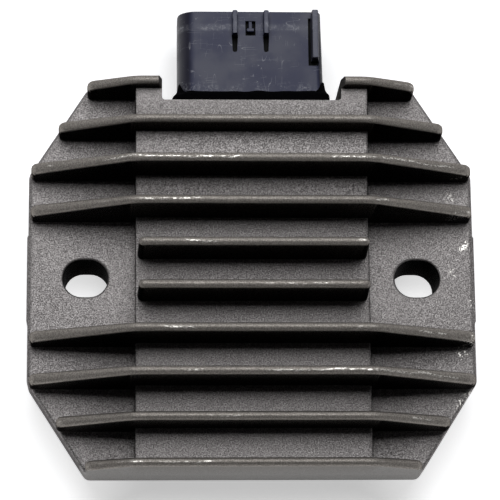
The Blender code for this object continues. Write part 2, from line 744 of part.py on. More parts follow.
def terminal_mesh(name, x, z, upper, end_y, gap, group):
    """A blade with a narrow tail, stamped flat and folded down or up to the board."""
    bend_y = socket_back - TAIL_BEND_AT
    tip_y = mouth_y - BLADE_SETBACK
    path = [(tip_y, z), (bend_y, z), (bend_y - TAIL_BEND_RUN, lead_z), (end_y - gap, lead_z)]
    wide = tip_y - (socket_back + CLEAR)
    ramp = math.hypot(TAIL_BEND_RUN, lead_z - z)
    total = (tip_y - bend_y) + ramp + (bend_y - TAIL_BEND_RUN - end_y + gap)
    half = BLADE_WIDTH / 2 + gap
    slim = TAIL_WIDTH / 2 + gap
    shift = tail_x(0, upper)
    outline = [(half, BLADE_TIP), (half, wide), (shift + slim, wide), (shift + slim, total),
               (shift - slim, total), (shift - slim, wide), (-half, wide), (-half, BLADE_TIP),
               (-half + BLADE_TIP, 0), (half - BLADE_TIP, 0)]
    strip = prism(name, [outline], -BLADE_THICKNESS / 2 - gap, BLADE_THICKNESS / 2 + gap, PLAN, group)
    fold(strip.data, path)
    strip.data.transform(Matrix.Translation((x, 0, 0)))
    return strip


def add_terminals():
    names = ("terminal_phase_a", "terminal_phase_b", "terminal_phase_c",
             "terminal_battery", "terminal_sense", "terminal_ground")
    for name, (x, z) in zip(names, blade_places()):
        upper = z > socket_middle
        end_y = battery_tail_end if name == "terminal_battery" else tail_end
        blade = terminal_mesh(name, x, z, upper, end_y, 0, parts)
        finish(blade, tinned_brass)
        terminal_mesh("space_for_" + name, x, z, upper, end_y, CLEAR, fill_hollows)


# Board


def add_package(name, x, y, size, look):
    """A part on the board's underside, and the space that the potting leaves for it."""
    half_x = size[0] / 2
    half_y = size[1] / 2
    body = box(name, (x - half_x, y - half_y, seat - size[2]), (x + half_x, y + half_y, seat), parts)
    rounding(body, PACKAGE_EDGE, 1)
    finish(body, look)
    box("space_for_" + name, (x - half_x - CLEAR, y - half_y - CLEAR, seat - size[2] - CLEAR),
        (x + half_x + CLEAR, y + half_y + CLEAR, seat + SINK), fill_hollows)


def add_capacitor_can(name, x, y, radius, height):
    """An upright can on the board's underside, turned from its outline."""
    low = seat - height
    start, deepest, end = [seat - height * share for share in CAN_GROOVE]
    line = [(0, seat), (radius, seat), (radius, start), (radius * CAN_NECK, deepest), (radius, end),
            (radius, low + PACKAGE_EDGE), (radius - PACKAGE_EDGE, low), (0, low)]
    mesh = bpy.data.meshes.new(name)
    mesh.from_pydata([(r, 0, z) for r, z in line], [(i, i + 1) for i in range(len(line) - 1)], [])
    can = place(name, mesh, parts)
    can.location = (x, y, 0)
    turn = can.modifiers.new("turn", "SCREW")
    turn.steps = ARC_STEPS
    turn.render_steps = ARC_STEPS
    turn.merge_threshold = 0.00001
    turn.use_merge_vertices = True
    finish(can, bare_aluminium)
    reach = radius + CLEAR
    box("space_for_" + name, (x - reach, y - reach, low - CLEAR),
        (x + reach, y + reach, seat + SINK), fill_hollows)


def add_clip(name, x):
    """The strap that joins one phase's terminal to its diode and thyristor."""
    land = lead_z - BLADE_THICKNESS / 2 - CLEAR - CLIP_THICKNESS / 2
    flat = seat - DEVICE_HEIGHT - CLEAR - CLIP_THICKNESS / 2
    start = tail_end + CLIP_WIDTH
    end = thyristor_y - THYRISTOR_LENGTH / 4
    for label, gap, group in ((name, 0, parts), ("space_for_" + name, CLEAR, fill_hollows)):
        path = [(start + gap, land), (tail_end, land), (tail_end - CLIP_RUN, flat), (end - gap, flat)]
        total = sum(math.dist(a, b) for a, b in zip(path, path[1:]))
        half = CLIP_WIDTH / 2 + gap
        outline = [(half, 0), (half, total), (-half, total), (-half, 0)]
        strip = prism(label, [outline], -CLIP_THICKNESS / 2 - gap, CLIP_THICKNESS / 2 + gap, PLAN, group)
        fold(strip.data, path)
        strip.data.transform(Matrix.Translation((x, 0, 0)))
        if group is parts:
            finish(strip, copper)


def add_buses(left_x, right_x, ground_x):
    """The battery bus is a bar. The ground bus runs from its terminal round to the thyristors."""
    leg = right_x + CLEAR + BUS_WIDTH
    top = tail_end + BUS_WIDTH
    for label, gap in (("", 0), ("space_for_", CLEAR)):
        group = fill_hollows if gap else parts
        low = seat - BUS_THICKNESS - gap
        high = seat + SINK if gap else seat
        bar_half = BUS_WIDTH / 2 + gap
        bar = [(left_x - gap, bus_y - bar_half), (right_x + gap, bus_y - bar_half),
               (right_x + gap, bus_y + bar_half), (left_x - gap, bus_y + bar_half)]
        battery = prism(label + "battery_bus", [bar], low, high, PLAN, group)
        start = ground_x + TAIL_WIDTH / 2 + CLEAR - gap
        ring = [(start, top + gap), (start, tail_end - gap), (leg - gap, tail_end - gap),
                (leg - gap, ground_y + bar_half), (left_x - gap, ground_y + bar_half),
                (left_x - gap, ground_y - bar_half), (leg + BUS_WIDTH + gap, ground_y - bar_half),
                (leg + BUS_WIDTH + gap, top + gap)]
        ground = prism(label + "ground_bus", [ring], low, high, PLAN, group)
        if group is parts:
            finish(battery, copper)
            finish(ground, copper)


def add_board():
    board = box("power_board", (-BOARD_WIDTH / 2, BOARD_END - BOARD_LENGTH, board_low),
                (BOARD_WIDTH / 2, BOARD_END, board_low + BOARD_THICKNESS), parts)
    rounding(board, PACKAGE_EDGE, 1)
    finish(board, ceramic)
    diode = (DIODE_SIZE, DIODE_SIZE, DEVICE_HEIGHT)
    thyristor = (THYRISTOR_WIDTH, THYRISTOR_LENGTH, DEVICE_HEIGHT)
    for letter, column in zip("abc", (-1, 0, 1)):
        x = tail_x(column * BLADE_PITCH, True)
        add_package(f"diode_{letter}", x, diode_y, diode, black_resin)
        add_package(f"thyristor_{letter}", x, thyristor_y, thyristor, black_resin)
        add_clip(f"phase_clip_{letter}", x)
        add_package(f"gate_resistor_{letter}", x, gate_y, RESISTOR_SIZE, ceramic)
    left_x = tail_x(-BLADE_PITCH, True) - THYRISTOR_WIDTH / 2
    right_x = tail_x(BLADE_PITCH, True) + THYRISTOR_WIDTH / 2 + BUS_WIDTH / 2
    add_buses(left_x, right_x, tail_x(BLADE_PITCH, False))
    add_package("control_chip", CHIP_X, control_y, CHIP_SIZE, black_resin)
    add_package("zener_diode", ZENER_X, control_y, ZENER_SIZE, black_resin)
    add_package("timing_capacitor", TIMING_X, control_y, TIMING_SIZE, yellow_resin)
    add_package("sense_resistor_a", SENSE_A_X, far_row_y, RESISTOR_SIZE, ceramic)
    add_package("sense_resistor_b", SENSE_B_X, far_row_y, RESISTOR_SIZE, ceramic)
    add_capacitor_can("filter_capacitor", CAN_X, far_row_y, CAN_RADIUS, CAN_HEIGHT)


def add_potting():
    """The resin that fills the recess, with a space for everything that it covers."""
    wing = wing_top - CLEAR
    resin = lower_pocket("potting_compound", CLEAR, fill_low, wing, parts)
    upper_pocket("deep_fill", CLEAR, wing - SINK, fill_raised, board_seat=True)
    prism("space_for_socket", [socket_outline(CLEAR, OVERRUN)], socket_back - CLEAR, pocket_near + OVERRUN,
          FRONT, fill_hollows)
    prism("space_for_collar", [collar_outline(CLEAR, OVERRUN)], socket_back, pocket_near + OVERRUN,
          FRONT, fill_hollows)
    combine(resin, fill_raised, "UNION")
    combine(resin, fill_hollows, "DIFFERENCE")
    finish(resin, black_resin)


clear_scene()
parts = new_collection("voltage_regulator_rectifier")
raised = new_collection("housing_raised")
hollows = new_collection("housing_cutters")
socket_raised = new_collection("socket_raised")
socket_hollows = new_collection("socket_cutters")
catch_parts = new_collection("socket_catch")
fill_raised = new_collection("potting_raised")
fill_hollows = new_collection("potting_cutters")

cast = material("cast_aluminium", (0.105, 0.098, 0.092), 0.55, 0.6)
black_plastic = material("black_plastic", (0.030, 0.032, 0.042), 0.38, 0.0)
black_resin = material("black_resin", (0.012, 0.012, 0.013), 0.30, 0.0)
tinned_brass = material("tinned_brass", (0.78, 0.76, 0.70), 0.28, 1.0)
copper = material("copper", (0.80, 0.44, 0.28), 0.30, 1.0)
ceramic = material("ceramic", (0.82, 0.82, 0.78), 0.50, 0.0)
yellow_resin = material("yellow_resin", (0.75, 0.55, 0.12), 0.40, 0.0)
bare_aluminium = material("bare_aluminium", (0.80, 0.80, 0.80), 0.30, 1.0)

frame = bpy.data.objects.new("part_frame", None)
frame.location = (0, -(part_front + part_back) / 2, 0)
parts.objects.link(frame)
bpy.context.view_layer.update()

add_housing()
add_socket()
add_seal()
add_terminals()
add_board()
add_potting()
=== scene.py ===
"""The looks of a voltage regulator rectifier: finishes, fine surface, camera and light.

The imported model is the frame. The housing, the socket, the sealant and the potting compound are replaced by
pieces of the same form with a finer surface. Every other node keeps its own mesh and gets a finish. Lengths
are in metres.
"""

import json
import math

import bmesh
import bpy
from mathutils import Matrix, Vector, noise

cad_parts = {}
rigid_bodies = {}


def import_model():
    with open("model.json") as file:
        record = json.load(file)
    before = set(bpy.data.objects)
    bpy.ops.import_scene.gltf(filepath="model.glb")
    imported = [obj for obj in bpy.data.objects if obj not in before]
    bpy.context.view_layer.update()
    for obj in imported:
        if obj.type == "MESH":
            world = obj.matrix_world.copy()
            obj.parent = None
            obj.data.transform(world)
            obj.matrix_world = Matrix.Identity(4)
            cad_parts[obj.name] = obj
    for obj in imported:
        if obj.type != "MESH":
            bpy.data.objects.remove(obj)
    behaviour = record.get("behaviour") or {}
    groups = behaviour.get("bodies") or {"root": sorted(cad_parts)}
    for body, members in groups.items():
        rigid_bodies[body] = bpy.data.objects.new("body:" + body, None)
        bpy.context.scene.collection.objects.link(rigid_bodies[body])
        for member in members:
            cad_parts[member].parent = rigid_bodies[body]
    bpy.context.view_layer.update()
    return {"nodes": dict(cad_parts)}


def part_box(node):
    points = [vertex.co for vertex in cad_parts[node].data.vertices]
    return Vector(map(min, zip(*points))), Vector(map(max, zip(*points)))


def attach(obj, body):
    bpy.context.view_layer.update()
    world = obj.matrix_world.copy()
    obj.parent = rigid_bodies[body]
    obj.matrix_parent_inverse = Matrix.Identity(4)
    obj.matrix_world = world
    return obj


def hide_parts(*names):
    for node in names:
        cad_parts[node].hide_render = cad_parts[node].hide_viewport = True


# Camera, fitted to the photograph's edges
CAMERA_AIM = Vector((-0.000327, -0.001949, 0.0143))
CAMERA_DISTANCE = 0.56655
CAMERA_PITCH = math.radians(14.0)
CAMERA_YAW = math.radians(-2.549)
CAMERA_ROLL = math.radians(0.092)
FOCAL_PIXELS = 2523.99
FRAME_PIXELS = 500
SENSOR = 36.0             # in millimetres, as Blender has it

# Form of the casting, in the row's frame
PLATE_HALF = 0.0500
FLANGE_TOP = 0.0143
SLOTS_Y = -0.0085235      # the line through both mounting slots
SLOT_X = 0.03715          # from the part's middle to the middle of a slot
FIN_COUNT = 10
FIN_PITCH = 0.00953

# Fine surface of the casting
WELD = 0.000001
FLAT_ANGLE = math.radians(0.4)
SHARP_ANGLE = math.radians(35)    # faces that meet at more than this don't shade as one
ROOT_ANGLE = math.radians(50)     # inner corners sharper than this get a fillet, if above ROOT_LOW
ROOT_LOW = FLANGE_TOP - 0.0005
ROOT_FILLET = 0.0004
CUT_STEP = 0.0008         # between the cuts that carry the crests' small dents
CREST_HALF = 0.0013       # a crest's vertices are this near to its fin's middle, if above CREST_LOW
CREST_LOW = FLANGE_TOP + 0.0008
CREST_BAND = 0.0011       # how far down from a crest its rubbed band reaches
CREST_FADE = 0.0004
NICK_DEPTH = 0.00012

# Where the casting's paint, its painted shade and its painted light change, each from its first number to its
# second
FIRST_BAY = (0.0349, 0.0352)      # y, just inside the first fin's outer face
LAST_BAY = (-0.0520, -0.0517)     # y, just inside the last fin's outer face
END_WALL = (-0.0510, -0.0507)     # y, the lower end wall is beyond it
OVER_FLANGE = (FLANGE_TOP, FLANGE_TOP + 0.0006)
PALE_TOP = (0.0222, 0.0230)       # z, the block's top by the socket is above it
NOTCH_HALF = (0.0208, 0.0212)     # x, from the part's middle to the notch's walls
SLOT_HALF_X = (0.0055, 0.0057)    # from a slot's middle
SLOT_HALF_Y = (0.0047, 0.0049)
CHIPPED_X = (0.0430, 0.0470)
CHIPPED_Z = (0.0125, 0.0140)

# Wear of the fins, counted from the socket
FIN_WEAR = (0.15, 0.25, 0.40, 0.30, 0.40, 0.40, 0.30, 0.40, 0.40, 0.25)
WORN_STRETCHES = (                # a fin, where along x its paint is rubbed more, and how far
    (1, -0.036, -0.032, 0.8), (1, -0.029, -0.026, 0.8), (1, 0.022, 0.028, 1.2),
    (2, -0.034, -0.002, 1.5), (2, 0.016, 0.027, 1.5), (2, 0.028, 0.046, 1.8),
    (3, -0.027, -0.010, 1.5), (3, 0.026, 0.034, 1.5), (4, -0.022, -0.008, 1.0),
    (6, -0.025, -0.012, 0.8), (6, 0.035, 0.043, 1.7), (7, -0.026, 0.012, 1.1),
    (7, 0.024, 0.046, 1.5), (8, -0.022, -0.002, 0.7), (9, -0.020, -0.005, 0.7))
STRETCH_FADE = 0.0015

# Where the socket's plastic and its painted shade change, in the same way
ROUND_SIDE = (0.0115, 0.0123)     # x, from the part's middle to the top's rounded sides
ROOT_DUST = (0.0342, 0.0364)      # y, dust lies from the sealant to here
SCUFF_START = (0.0477, 0.0486)    # y, the plug has rubbed a band across the top
SCUFF_END = (0.0491, 0.0500)
RAIL_TOP = (0.0209, 0.0215)       # z, the rails and the key are paler above it
WELL_TOP = (0.0189, 0.0193)       # z, under it are the floors of the wells beside the rails and the key
WELLS_LEFT = (-0.0120, -0.0117)   # x, no well is further left
CAVITY_TOP = (0.0180, 0.0182)     # z, of the space that takes the plug
CAVITY_FLOOR = (0.0061, 0.0064)
CAVITY_HALF = (0.0152, 0.0155)
CAVITY_MOUTH = (0.0522, 0.0525)

# Colours. A pair is the darker and the paler colour that a finish's grain mixes.
WHITE = (1.0, 1.0, 1.0, 1.0)
PAINT = ((0.098, 0.090, 0.090, 1.0), (0.415, 0.398, 0.396, 1.0))
# painted light: the lower end wall is paler in place of the pale floor's light that it mirrors
PAINTED_LIGHT_ON_END = ((0.335, 0.326, 0.321, 1.0), (0.465, 0.456, 0.446, 1.0))
PAINT_ON_CREST = ((0.192, 0.177, 0.162, 1.0), (0.332, 0.310, 0.288, 1.0))
PAINT_MOTTLE = (0.15, 0.138, 0.14, 1.0)
PAINT_CLOUD = (0.26, 0.25, 0.245, 1.0)
PAINT_ON_TOP = (0.345, 0.328, 0.325, 1.0)
# painted shade: near black on upright faces between the fins, in the notch and in the slots
PAINTED_SHADE_IN_BAYS = (0.025, 0.023, 0.023, 1.0)
PAINT_EDGE = (0.15, 0.15, 0.15, 1.0)     # the tint of what it mirrors at a glancing angle
BARE_METAL = (0.97, 0.95, 0.90, 1.0)
PLASTIC = ((0.014, 0.018, 0.050, 1.0), (0.019, 0.023, 0.061, 1.0))
# painted shade: the socket's rounded sides, darker as they turn away from straight up
PAINTED_SHADE_ON_SIDE = (0.015, 0.015, 0.027, 1.0)
PLASTIC_RUBBED = (0.40, 0.41, 0.45, 1.0)
# painted shade: near black inside the socket and on the floors of its wells
PAINTED_SHADE_INSIDE = (0.0015, 0.0015, 0.002, 1.0)
RESIN = (0.010, 0.010, 0.011, 1.0)
RESIN_DUST = (0.16, 0.16, 0.16, 1.0)
SEALANT = ((0.0006, 0.0006, 0.0009, 1.0), (0.0018, 0.0018, 0.0024, 1.0))
PACKAGE = ((0.012, 0.012, 0.013, 1.0), (0.030, 0.030, 0.031, 1.0))
CERAMIC = ((0.74, 0.74, 0.70, 1.0), (0.84, 0.84, 0.80, 1.0))
YELLOW = ((0.66, 0.47, 0.09, 1.0), (0.78, 0.58, 0.14, 1.0))
TIN = ((0.62, 0.60, 0.54, 1.0), (0.80, 0.78, 0.72, 1.0))
COPPER = ((0.62, 0.31, 0.19, 1.0), (0.80, 0.44, 0.28, 1.0))
CAN = ((0.70, 0.70, 0.70, 1.0), (0.82, 0.82, 0.82, 1.0))

# Strip inside the socket, under its rails' windows: a sheet in the painted shade, so that the windows read
# black
SHADE_STRIP_SIZE = (0.0100, 0.0050, 0.0005)
SHADE_STRIP_PLACE = (0.0, 0.0449, 0.0179)

# Sealant bead round the socket
SOCKET_LOW = Vector((-0.0166, 0, 0.0051))
SOCKET_HIGH = Vector((0.0166, 0, 0.0197))
SOCKET_RADII = (0.0043, 0.0016, 0.0016, 0.0043)   # lower left, lower right, upper right, upper left
CORNER_STEPS = 10
BEAD_STEPS = 180
BEAD_PROFILE = (                  # outward and along the socket, in shares of the flare and the length
    (0.0, 0.0), (1.0, 0.0), (1.0, 0.60), (0.90, 0.71), (0.55, 0.79), (0.27, 0.86), (0.12, 0.94), (0.02, 1.0))
BEAD_LENGTH = 0.0027
BEAD_FLARE = 0.0014
BEAD_SKIN = 0.00005
BEAD_RIPPLE = 0.00040
BEAD_SHARP_ANGLE = math.radians(60)
CREEP_LENGTH = 0.0024             # how much further the bead runs at the socket's upper corners
CREEP_THINNING = 6                # the power that leaves only the bead's thin edge to run further
CREEP_X = (0.0148, 0.0163)
CREEP_Z = (0.0150, 0.0175)

# Stage
FLOOR_SIZE = 6.0
FLOOR_COLOR = (0.84, 0.845, 0.86, 1.0)
# painted shadow: the floor glows less in a strip under the object, so that its shadow shows there alone
FLOOR_GLOW = 0.48                 # in a strip along the object's middle
FLOOR_GLOW_AROUND = 0.72
GLOW_HALF = (0.022, 0.042)        # x, from the strip's middle to its sides
GLOW_END = (-0.053, -0.062)       # y, at the strip's lower end
AMBIENT = 0.01
SWEEP_TOP = (0.20, 0.45)          # of the pale sweep behind the object, in shares of straight up
LAMP_PLACE = (0.0, 0.28, 0.60)
LAMP_SIZE = (0.5, 0.46)
LAMP_WATTS = 3.72


# Node trees


class Nodes:
    """Short calls for the nodes of one tree. A value is a constant or another node's output."""

    def __init__(self, tree, coordinates):
        self.tree = tree
        self.place = self.new("TexCoord").outputs[coordinates]

    def new(self, kind):
        return self.tree.nodes.new("ShaderNode" + kind)

    def fill(self, node, inputs):
        """Sets inputs of a node, by name or number, to constants or to other nodes' outputs."""
        for name, value in inputs.items():
            if isinstance(value, bpy.types.NodeSocket):
                self.tree.links.new(value, node.inputs[name])
            else:
                node.inputs[name].default_value = value

    def part(self, vector, letter):
        """One of a vector's X, Y and Z."""
        node = self.new("SeparateXYZ")
        self.fill(node, {0: vector})
        return node.outputs[letter]

    def axis(self, letter):
        return self.part(self.place, letter)

    def upward(self):
        """1 where the surface faces straight up, 0 on its sides."""
        return self.part(self.new("NewGeometry").outputs["Normal"], "Z")

    def ray(self, kind):
        """1 for one kind of ray, 0 for the others."""
        return self.new("LightPath").outputs[kind]

    def attribute(self, name):
        node = self.new("Attribute")
        node.attribute_name = name
        return node.outputs["Fac"]

    def stretched(self, scale):
        """The coordinates, scaled along each axis."""
        node = self.new("Mapping")
        self.fill(node, {"Vector": self.place, "Scale": scale})
        return node.outputs["Vector"]

    def noise(self, scale, detail=2.0, roughness=0.5):
        """Noise at one scale, or at a scale for each axis."""
        place = self.place
        if isinstance(scale, tuple):
            place = self.stretched(scale)
            scale = 1.0
        node = self.new("TexNoise")
        self.fill(node, {"Vector": place, "Scale": scale, "Detail": detail, "Roughness": roughness})
        return node.outputs["Fac"]

    def calculate(self, operation, first, second=0.0):
        node = self.new("Math")
        node.operation = operation
        self.fill(node, {0: first, 1: second})
        return node.outputs[0]

    def times(self, first, *others):
        for other in others:
            first = self.calculate("MULTIPLY", first, other)
        return first

    def largest(self, first, *others):
        for other in others:
            first = self.calculate("MAXIMUM", first, other)
        return first

    def plus(self, first, second):
        return self.calculate("ADD", first, second)

    def minus(self, first, second):
        return self.calculate("SUBTRACT", first, second)

    def distance(self, value, middle=0.0):
        return self.calculate("ABSOLUTE", self.minus(value, middle))

    def between(self, value, low, high, start=0.0, end=1.0):
        """Start up to the low value, end from the high one on, and a smooth change between."""
        node = self.new("MapRange")
        node.interpolation_type = "SMOOTHSTEP"
        self.fill(node, {"Value": value, "From Min": low, "From Max": high, "To Min": start, "To Max": end})
        return node.outputs["Result"]

    def above(self, value, limits):
        """1 above the limits, 0 below them."""
        return self.between(value, *limits)

    def below(self, value, limits):
        """1 below the limits, 0 above them."""
        return self.between(value, *limits, start=1.0, end=0.0)

    def blend(self, share, first, second):
        node = self.new("Mix")
        node.data_type = "RGBA"
        self.fill(node, {"Factor": share, "A": first, "B": second})
        return node.outputs["Result"]

    def lines(self, scale):
        """Thin winding lines: where a slow noise passes through its middle value."""
        return self.below(self.distance(self.noise(scale, detail=0.0), 0.5), (0.0, 0.010))

    def bump(self, height, distance, strength, under=None):
        node = self.new("Bump")
        self.fill(node, {"Height": height, "Distance": distance, "Strength": strength})
        if under is not None:
            self.fill(node, {"Normal": under})
        return node.outputs["Normal"]


class Finish(Nodes):
    """A material with a Principled shader."""

    def __init__(self, name, metallic=0.0, specular=0.5):
        self.material = bpy.data.materials.new(name)
        self.material.use_nodes = True
        super().__init__(self.material.node_tree, "Object")
        self.shader = self.tree.nodes["Principled BSDF"]
        self.fill(self.shader, {"Metallic": metallic, "Specular IOR Level": specular})

    def done(self, color, roughness, normal):
        """Feeds the shader, and gives the material."""
        self.fill(self.shader, {"Base Color": color, "Roughness": roughness, "Normal": normal})
        return self.material


# Finishes


def rubbed_crests(made):
    """Broken bright specks along the middle of the fins' crests, where the paint is rubbed through."""
    # The slots' line is midway between two fins, so a fin's middle is where the part of a pitch is a half
    pitches = made.calculate("DIVIDE", made.minus(made.axis("Y"), SLOTS_Y), FIN_PITCH)
    drift = made.times(made.minus(made.noise(140.0), 0.5), 0.16)
    off_fin = made.distance(made.calculate("FRACT", made.plus(pitches, drift)), 0.5)
    streak = made.noise((1100.0, 3600.0, 3600.0), detail=4.0, roughness=0.7)
    patch = made.noise((70.0, 170.0, 60.0), detail=3.0, roughness=0.6)
    reach = made.plus(patch, made.times(made.attribute("worn"), 0.20))
    return made.times(made.above(streak, (0.49, 0.56)), made.above(reach, (0.65, 0.75)),
                      made.below(off_fin, (0.006, 0.034)))


def chips(made):
    """Bare specks in clusters at the right edge."""
    speck = made.above(made.noise(2000.0, detail=3.0, roughness=0.6), (0.55, 0.60))
    cluster = made.above(made.noise(150.0), (0.57, 0.62))
    return made.times(speck, cluster, made.attribute("chipped"))


def painted_shade_places(made):
    """1 between the fins, in the notch for the socket and in the slots, where upright faces get painted shade
    that makes them read black.
    """
    along = made.axis("Y")
    aside = made.distance(made.axis("X"))
    bays = made.times(made.above(along, LAST_BAY), made.below(along, FIRST_BAY))
    notch = made.times(made.above(along, FIRST_BAY), made.below(aside, NOTCH_HALF))
    over = made.times(made.largest(bays, notch), made.above(made.axis("Z"), OVER_FLANGE))
    slots = made.times(made.below(made.distance(along, SLOTS_Y), SLOT_HALF_Y),
                       made.below(made.distance(aside, SLOT_X), SLOT_HALF_X))
    return made.largest(over, slots)


def cast_finish():
    """Dark grained casting: browner on the fins' crests and paler by the socket, with painted light that
    makes the lower end wall paler, and painted shade that makes upright faces between the fins, in the notch
    and in the slots near black.
    """
    made = Finish("cast_aluminium", metallic=1.0)
    made.fill(made.shader, {"Specular Tint": PAINT_EDGE})
    grain = made.noise(3300.0, detail=3.0, roughness=0.65)
    coarse = made.noise(900.0)
    cloud = made.noise(55.0, detail=3.0)
    speck = made.above(grain, (0.32, 0.68))
    side = made.below(made.upward(), (0.25, 0.75))
    end = made.times(side, made.below(made.axis("Y"), END_WALL))
    color = made.blend(speck, *PAINT)
    color = made.blend(made.between(coarse, 0.35, 0.70, end=0.35), color, PAINT_MOTTLE)
    color = made.blend(made.between(cloud, 0.3, 0.7, end=0.25), color, PAINT_CLOUD)
    color = made.blend(made.between(made.axis("Z"), *PALE_TOP, end=0.5), color, PAINT_ON_TOP)
    # painted light: the lower end wall's paler colour stands in for the floor's light that it mirrors
    color = made.blend(end, color, made.blend(speck, *PAINTED_LIGHT_ON_END))
    # painted shade: upright faces between the fins, in the notch and in the slots turn near black
    color = made.blend(made.times(side, painted_shade_places(made)), color, PAINTED_SHADE_IN_BAYS)
    color = made.blend(made.attribute("crest"), color, made.blend(speck, *PAINT_ON_CREST))
    bare = made.largest(rubbed_crests(made), chips(made))
    color = made.blend(bare, color, BARE_METAL)
    roughness = made.minus(made.between(grain, 0.3, 0.7, start=0.66, end=0.50), made.times(side, 0.10))
    roughness = made.minus(roughness, made.times(bare, 0.20))
    fine = made.bump(grain, distance=0.00010, strength=0.8)
    return made.done(color, roughness, made.bump(coarse, distance=0.00008, strength=0.5, under=fine))


def plastic_marks(made):
    """Fine scratches all over, a band that the plug has rubbed, and dust at the socket's root."""
    along = made.axis("Y")
    patch = made.above(made.noise(170.0, detail=3.0), (0.42, 0.58))
    grit = made.above(made.noise(1700.0, detail=3.0, roughness=0.7), (0.45, 0.66))
    scratches = made.times(made.largest(made.lines((700.0, 110.0, 300.0)), made.lines((110.0, 760.0, 300.0))),
                           made.above(made.noise(330.0, detail=3.0), (0.52, 0.62)))
    scuff = made.times(made.above(along, SCUFF_START), made.below(along, SCUFF_END),
                       made.between(patch, 0.0, 0.6, start=0.35), made.between(grit, 0.0, 1.0, start=0.3))
    dust = made.times(made.below(along, ROOT_DUST), patch, grit)
    return made.largest(made.times(scratches, 0.45), made.times(made.largest(scuff, dust), 0.36))


def shaded_socket_inside(made):
    """1 in the space that takes the plug, and on the floors of the wells beside the rails and the key, where
    the plastic gets painted shade and is rougher.
    """
    across = made.axis("X")
    high = made.axis("Z")
    wells = made.times(made.below(high, WELL_TOP), made.above(across, WELLS_LEFT))
    within = made.times(made.below(made.distance(across), CAVITY_HALF),
                        made.below(made.axis("Y"), CAVITY_MOUTH), made.above(high, CAVITY_FLOOR))
    return made.times(made.largest(wells, made.below(high, CAVITY_TOP)), within)


def plastic_finish():
    """Blue-black moulded plastic, scratched and scuffed, with painted shade on the rounded sides, where they
    turn away from the lamp, and inside.
    """
    made = Finish("black_plastic", specular=0.26)
    cloud = made.noise(120.0, detail=3.0, roughness=0.6)
    round_side = made.times(made.below(made.upward(), (0.90, 0.995)),
                            made.above(made.distance(made.axis("X")), ROUND_SIDE))
    marks = plastic_marks(made)
    inside = shaded_socket_inside(made)
    color = made.blend(made.above(cloud, (0.3, 0.7)), *PLASTIC)
    # painted shade on the rounded sides, according to how far they turn away from straight up
    color = made.blend(round_side, color, PAINTED_SHADE_ON_SIDE)
    color = made.blend(made.between(made.axis("Z"), *RAIL_TOP, end=0.14), color, PLASTIC_RUBBED)
    color = made.blend(marks, color, PLASTIC_RUBBED)
    # painted shade inside the socket and in its wells
    color = made.blend(inside, color, PAINTED_SHADE_INSIDE)
    roughness = made.plus(made.between(cloud, 0.3, 0.7, start=0.36, end=0.50), made.times(inside, 0.4))
    fine = made.bump(made.noise(5200.0), distance=0.00002, strength=0.5)
    return made.done(color, roughness, made.bump(marks, distance=0.00002, strength=0.4, under=fine))


def resin_finish():
    """Cured black resin: satin, with slow ripples and a little dust."""
    made = Finish("black_resin")
    slow = made.noise(240.0, detail=3.0)
    dust = made.between(made.noise(2400.0), 0.66, 0.74, end=0.25)
    return made.done(made.blend(dust, RESIN, RESIN_DUST), made.between(slow, 0.3, 0.7, start=0.28, end=0.44),
                     made.bump(slow, distance=0.00006, strength=0.6))


def sealant_finish():
    """Matt black rubbery sealant, uneven from being laid by hand."""
    made = Finish("sealant", specular=0.02)
    slow = made.noise(420.0, detail=3.0)
    fine = made.above(made.noise(3000.0), (0.3, 0.7))
    return made.done(made.blend(fine, *SEALANT), made.between(slow, 0.3, 0.7, start=0.85),
                     made.bump(slow, distance=0.00012, strength=0.6))


def metal_finish(name, colors, roughness, rolling):
    """Bare sheet metal with rolling marks along one direction and dull spots."""
    made = Finish(name, metallic=1.0)
    dull = made.noise(420.0, detail=3.0)
    dark, light = colors
    return made.done(made.blend(made.above(dull, (0.35, 0.7)), light, dark),
                     made.between(dull, 0.3, 0.7, start=roughness - 0.06, end=roughness + 0.10),
                     made.bump(made.noise(rolling, roughness=0.6), distance=0.00001, strength=0.5))


def grain_finish(name, colors, roughness, scale):
    """A fine-grained moulded or fired body."""
    made = Finish(name)
    grain = made.noise(scale, detail=3.0, roughness=0.6)
    return made.done(made.blend(made.above(grain, (0.3, 0.7)), *colors),
                     made.between(grain, 0.3, 0.7, start=roughness - 0.05, end=roughness + 0.05),
                     made.bump(grain, distance=0.00001, strength=0.5))


# Making objects


def placed(name, data):
    """A new object in the scene."""
    made = bpy.data.objects.new(name, data)
    bpy.context.scene.collection.objects.link(made)
    return made


def meshed(name, bm, material):
    """A new object of the mesh, with one material."""
    mesh = bpy.data.meshes.new(name)
    bm.to_mesh(mesh)
    bm.free()
    mesh.materials.append(material)
    return placed(name, mesh)


def copied(node):
    """The node's mesh, welded, with its flat triangles joined."""
    bm = bmesh.new()
    bm.from_mesh(frame["nodes"][node].data)
    bmesh.ops.remove_doubles(bm, verts=bm.verts, dist=WELD)
    bmesh.ops.dissolve_limit(bm, angle_limit=FLAT_ANGLE, verts=bm.verts, edges=bm.edges)
    bm.normal_update()
    return bm


def new_piece(name, bm, finish, node, sharp=SHARP_ANGLE):
    """Makes a piece of the mesh, shades it and puts it in its node's place."""
    for face in bm.faces:
        face.smooth = True
    for edge in bm.edges:
        edge.smooth = len(edge.link_faces) == 2 and edge.calc_face_angle() < sharp
    piece = meshed(name, bm, finish)
    weighted = piece.modifiers.new("normals", "WEIGHTED_NORMAL")
    weighted.keep_sharp = True
    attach(piece, "root")
    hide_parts(node)
    return piece


def step_between(value, low, high):
    """0 up to the low value, 1 from the high one on, and a smooth change between."""
    t = min(max((value - low) / (high - low), 0.0), 1.0)
    return t * t * (3 - 2 * t)


# Casting


def fin_middle(index):
    """The y of a fin, counted from the socket."""
    return SLOTS_Y + ((FIN_COUNT - 1) / 2 - index) * FIN_PITCH


